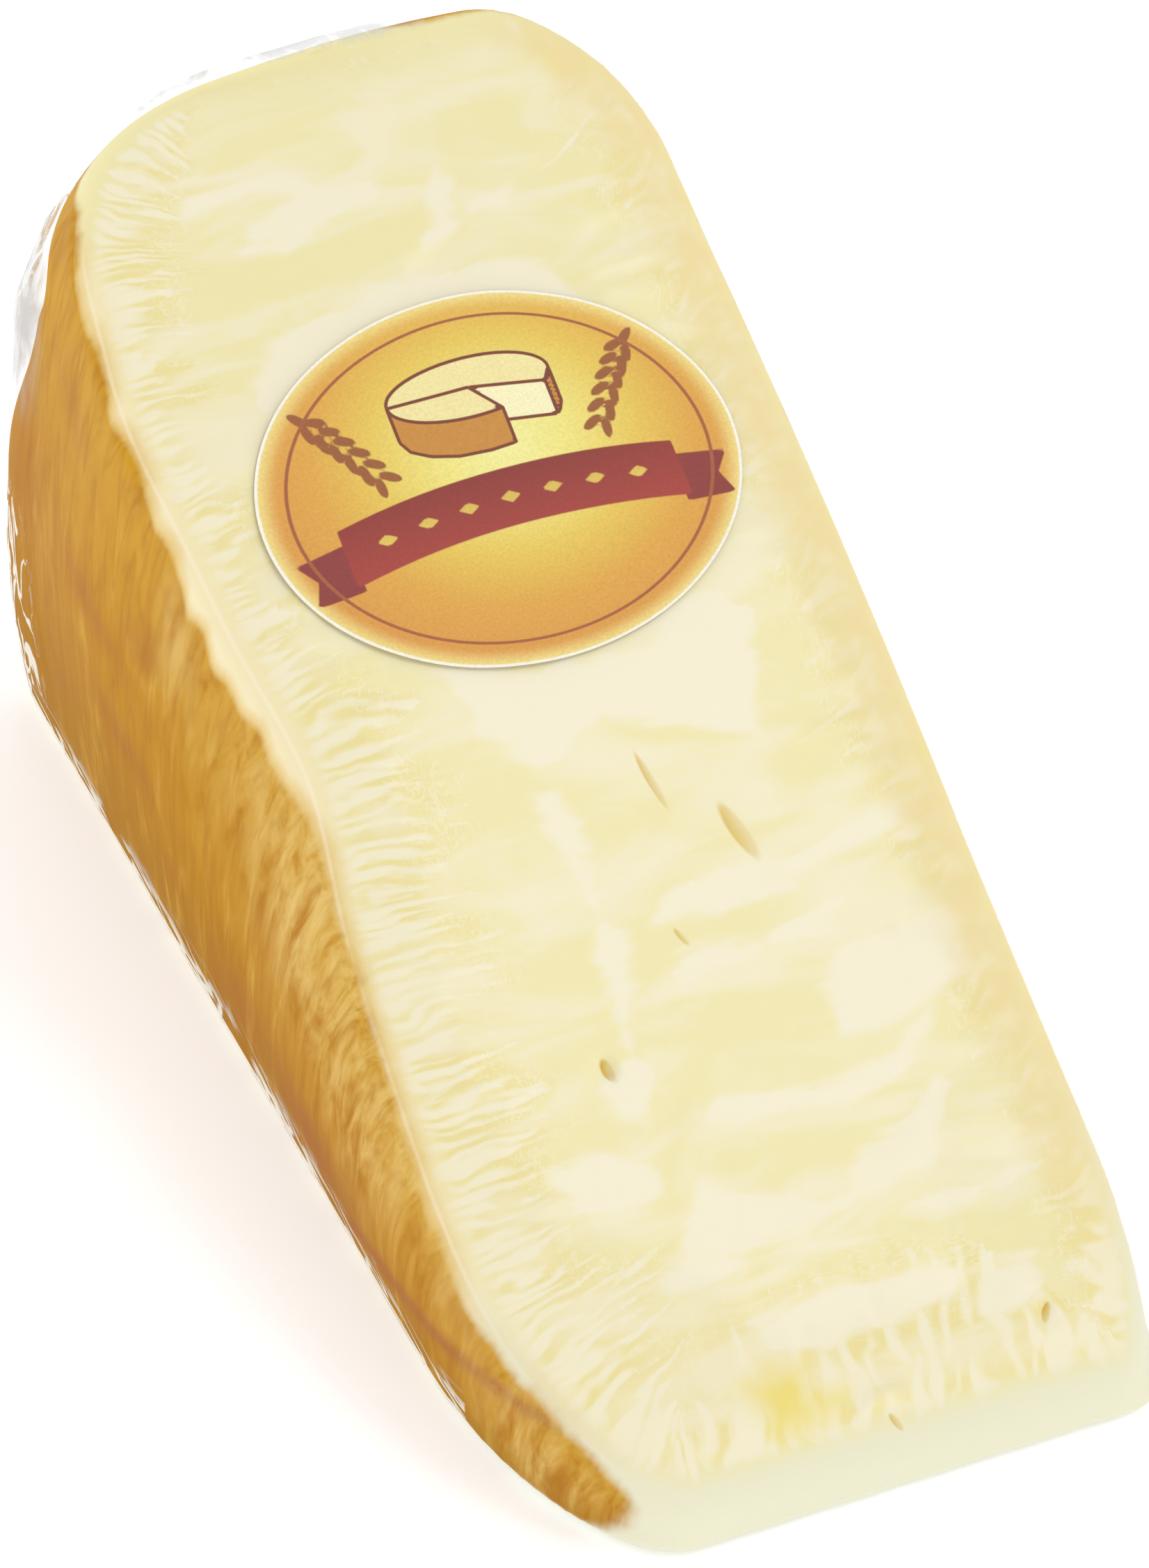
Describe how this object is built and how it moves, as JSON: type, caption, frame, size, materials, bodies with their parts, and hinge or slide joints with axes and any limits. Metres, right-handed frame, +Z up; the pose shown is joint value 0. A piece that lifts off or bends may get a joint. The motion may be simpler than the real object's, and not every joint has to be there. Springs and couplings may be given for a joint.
{
  "type": "film-wrapped wedge of washed-rind cheese",
  "caption": "Wedge cut from a small washed-rind wheel, wrapped tightly in clear film, lying on a cut face with an oval paper label on top.",
  "frame": {"origin": "bottom centre of the wedge's bounding box, on the cut face it rests on", "axes": "+Z up; +Y along the wedge from its blunt tip to the wheel's rim; +X across, along the wheel's axis"},
  "size_m": [0.0484, 0.1106, 0.0641],
  "materials": {
    "cheese_in_film": "cream paste and ochre rind under clear glossy film",
    "oval_label": "printed paper, gold shading to yellow, matt"
  },
  "bodies": {
    "root": {"cheese_in_film": "cheese_in_film", "oval_label": "oval_label"}
  },
  "joints": []
}
